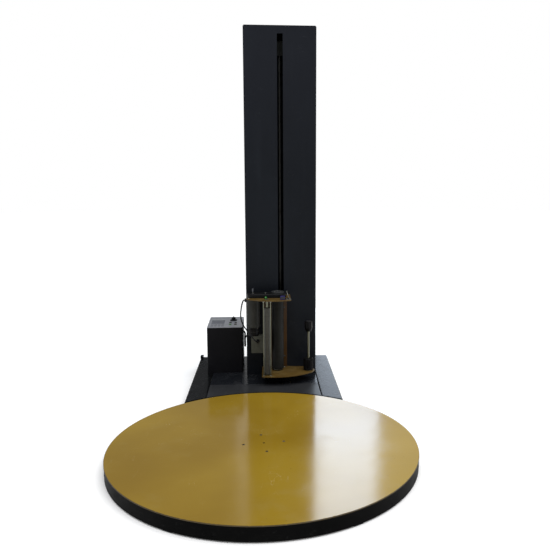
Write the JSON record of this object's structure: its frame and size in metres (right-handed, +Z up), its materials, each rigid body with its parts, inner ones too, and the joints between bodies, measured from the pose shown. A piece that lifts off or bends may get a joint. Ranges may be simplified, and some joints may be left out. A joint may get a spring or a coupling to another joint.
{
  "type": "turntable pallet wrapper",
  "caption": "Stretch-film wrapping machine: round floor turntable on a low base, hollow mast with a front slot, and a film carriage that climbs it.",
  "frame": {"origin": "on the floor under the turntable's axis", "axes": "+X to the operator's right, +Y from the turntable to the mast, +Z up"},
  "size_m": [1.65, 2.565, 2.55],
  "materials": {
    "yellow_paint": "gloss",
    "black_paint": "satin",
    "dark_paint": "semi-gloss powder coat",
    "dark_steel": "oiled",
    "bright_steel": "zinc plated",
    "motor_grey": "cast, painted",
    "light_grey_plastic": "matte",
    "panel_silver": "satin",
    "black_plastic": "matte",
    "roller_rubber": "matte",
    "roller_sleeve": "satin",
    "wheel_nylon": "matte"
  },
  "bodies": {
    "base": {"bed_frame": "dark_paint", "bed_skirt": "black_paint", "bridge_cover": "dark_paint", "deck_plate": "dark_paint", "rear_frame": "dark_paint", "side_member_left": "dark_paint", "side_member_right": "dark_paint", "drive_gearmotor": "motor_grey", "drive_chain": "dark_steel", "mast_shell": "dark_paint", "mast_top_cap": "dark_paint", "mast_foot_plate": "dark_paint", "mast_rear_cover": "dark_paint", "guide_rail_left": "bright_steel", "guide_rail_right": "bright_steel", "lift_gearmotor": "motor_grey", "lower_sprocket_bracket": "dark_paint", "lift_chain": "dark_steel", "cabinet_shell": "black_paint", "cabinet_rear_cover": "black_paint", "control_panel": "panel_silver", "inverter": "light_grey_plastic", "power_lead": "black_plastic"},
    "turntable": {"turntable_plate": "yellow_paint", "turntable_hub": "dark_steel", "ring_sprocket": "dark_steel"},
    "drive_sprocket": {"drive_sprocket": "dark_steel"},
    "upper_lift_sprocket": {"upper_lift_sprocket": "dark_steel"},
    "lower_lift_sprocket": {"lower_lift_sprocket": "dark_steel"},
    "carriage": {"trolley": "dark_paint", "carriage_bottom_plate": "yellow_paint", "carriage_top_plate": "yellow_paint", "carriage_back_plate": "yellow_paint", "feed_chain": "dark_steel", "feed_motor": "motor_grey", "chain_cover": "black_paint", "junction_box": "light_grey_plastic", "cable_gland": "black_plastic", "carriage_cable": "black_plastic", "guide_bar_left": "bright_steel", "guide_bar_right": "bright_steel", "sensor_bracket": "bright_steel", "spool_post": "bright_steel"},
    "feed_roller": {"feed_roller": "roller_rubber", "roller_sprocket": "dark_steel"},
    "motor_sprocket": {"motor_sprocket": "dark_steel"},
    "idler_roller": {"idler_roller": "roller_sleeve"},
    "spool": {"spool_hub": "black_plastic"},
    "spool_knob": {"spool_knob": "black_plastic"},
    "main_switch_knob": {"main_switch_knob": "black_plastic"},
    "support_wheel_1": {"support_wheel_1": "wheel_nylon"},
    "support_wheel_2": {"support_wheel_2": "wheel_nylon"},
    "support_wheel_3": {"support_wheel_3": "wheel_nylon"},
    "support_wheel_4": {"support_wheel_4": "wheel_nylon"},
    "support_wheel_5": {"support_wheel_5": "wheel_nylon"},
    "support_wheel_6": {"support_wheel_6": "wheel_nylon"},
    "trolley_wheel_left_lower": {"trolley_wheel_left_lower": "wheel_nylon"},
    "trolley_wheel_left_upper": {"trolley_wheel_left_upper": "wheel_nylon"},
    "trolley_wheel_right_lower": {"trolley_wheel_right_lower": "wheel_nylon"},
    "trolley_wheel_right_upper": {"trolley_wheel_right_upper": "wheel_nylon"}
  },
  "joints": [
    {"name": "turntable_spin", "type": "hinge", "parent": "base", "child": "turntable", "pos_m": [0, 0, 0], "axis": [0, 0, 1], "continuous": true},
    {"name": "drive_sprocket_spin", "type": "hinge", "parent": "base", "child": "drive_sprocket", "pos_m": [0.13, 1.47, 0.0614], "axis": [0, 0, 1], "continuous": true},
    {"name": "support_wheel_1_spin", "type": "hinge", "parent": "base", "child": "support_wheel_1", "pos_m": [0.7, 0, 0.0487], "axis": [1, 0, 0], "continuous": true},
    {"name": "support_wheel_2_spin", "type": "hinge", "parent": "base", "child": "support_wheel_2", "pos_m": [0.35, 0.60622, 0.0487], "axis": [0.5, 0.866, 0], "continuous": true},
    {"name": "support_wheel_3_spin", "type": "hinge", "parent": "base", "child": "support_wheel_3", "pos_m": [-0.35, 0.60622, 0.0487], "axis": [-0.5, 0.866, 0], "continuous": true},
    {"name": "support_wheel_4_spin", "type": "hinge", "parent": "base", "child": "support_wheel_4", "pos_m": [-0.7, 0, 0.0487], "axis": [-1, 0, 0], "continuous": true},
    {"name": "support_wheel_5_spin", "type": "hinge", "parent": "base", "child": "support_wheel_5", "pos_m": [-0.35, -0.60622, 0.0487], "axis": [-0.5, -0.866, 0], "continuous": true},
    {"name": "support_wheel_6_spin", "type": "hinge", "parent": "base", "child": "support_wheel_6", "pos_m": [0.35, -0.60622, 0.0487], "axis": [0.5, -0.866, 0], "continuous": true},
    {"name": "carriage_lift", "type": "slide", "parent": "base", "child": "carriage", "axis": [0, 0, 1], "range_m": [0, 1.75]},
    {"name": "upper_lift_sprocket_spin", "type": "hinge", "parent": "base", "child": "upper_lift_sprocket", "pos_m": [0.13, 1.45, 2.42], "axis": [1, 0, 0], "range_deg": [-2050, 0]},
    {"name": "lower_lift_sprocket_spin", "type": "hinge", "parent": "base", "child": "lower_lift_sprocket", "pos_m": [0.13, 1.45, 0.47], "axis": [1, 0, 0], "range_deg": [-2050, 0]},
    {"name": "trolley_wheel_left_lower_spin", "type": "hinge", "parent": "carriage", "child": "trolley_wheel_left_lower", "pos_m": [0.0443, 1.337, 0.21], "axis": [1, 0, 0], "range_deg": [-4420, 0]},
    {"name": "trolley_wheel_left_upper_spin", "type": "hinge", "parent": "carriage", "child": "trolley_wheel_left_upper", "pos_m": [0.0443, 1.337, 0.58], "axis": [1, 0, 0], "range_deg": [0, 4420]},
    {"name": "trolley_wheel_right_lower_spin", "type": "hinge", "parent": "carriage", "child": "trolley_wheel_right_lower", "pos_m": [0.2157, 1.337, 0.21], "axis": [1, 0, 0], "range_deg": [-4420, 0]},
    {"name": "trolley_wheel_right_upper_spin", "type": "hinge", "parent": "carriage", "child": "trolley_wheel_right_upper", "pos_m": [0.2157, 1.337, 0.58], "axis": [1, 0, 0], "range_deg": [0, 4420]},
    {"name": "feed_roller_spin", "type": "hinge", "parent": "carriage", "child": "feed_roller", "pos_m": [0.1025, 1.12, 0.15], "axis": [0, 0, 1], "continuous": true},
    {"name": "motor_sprocket_spin", "type": "hinge", "parent": "carriage", "child": "motor_sprocket", "pos_m": [-0.071, 1.1, 0.683], "axis": [0, 0, 1], "continuous": true},
    {"name": "idler_roller_spin", "type": "hinge", "parent": "carriage", "child": "idler_roller", "pos_m": [0.026, 1, 0.15], "axis": [0, 0, 1], "continuous": true},
    {"name": "spool_spin", "type": "hinge", "parent": "carriage", "child": "spool", "pos_m": [0.32, 1.105, 0.15], "axis": [0, 0, 1], "continuous": true},
    {"name": "spool_knob_lift", "type": "slide", "parent": "carriage", "child": "spool_knob", "axis": [0, 0, 1], "range_m": [0, 0.06]},
    {"name": "main_switch_turn", "type": "hinge", "parent": "base", "child": "main_switch_knob", "pos_m": [-0.23, 1.515, 0.42651], "axis": [0, -0.0303, 0.9995], "range_deg": [0, 90]}
  ],
  "couplings": [
    {"joint": "drive_sprocket_spin", "follows": "turntable_spin", "ratio": 4},
    {"joint": "support_wheel_1_spin", "follows": "turntable_spin", "ratio": -28},
    {"joint": "support_wheel_2_spin", "follows": "turntable_spin", "ratio": -28},
    {"joint": "support_wheel_3_spin", "follows": "turntable_spin", "ratio": -28},
    {"joint": "support_wheel_4_spin", "follows": "turntable_spin", "ratio": -28},
    {"joint": "support_wheel_5_spin", "follows": "turntable_spin", "ratio": -28},
    {"joint": "support_wheel_6_spin", "follows": "turntable_spin", "ratio": -28},
    {"joint": "upper_lift_sprocket_spin", "follows": "carriage_lift", "rad_per_m": -20.379},
    {"joint": "lower_lift_sprocket_spin", "follows": "carriage_lift", "rad_per_m": -20.379},
    {"joint": "trolley_wheel_left_lower_spin", "follows": "carriage_lift", "rad_per_m": -44.053},
    {"joint": "trolley_wheel_left_upper_spin", "follows": "carriage_lift", "rad_per_m": 44.053},
    {"joint": "trolley_wheel_right_lower_spin", "follows": "carriage_lift", "rad_per_m": -44.053},
    {"joint": "trolley_wheel_right_upper_spin", "follows": "carriage_lift", "rad_per_m": 44.053},
    {"joint": "motor_sprocket_spin", "follows": "feed_roller_spin", "ratio": 1.6667}
  ]
}
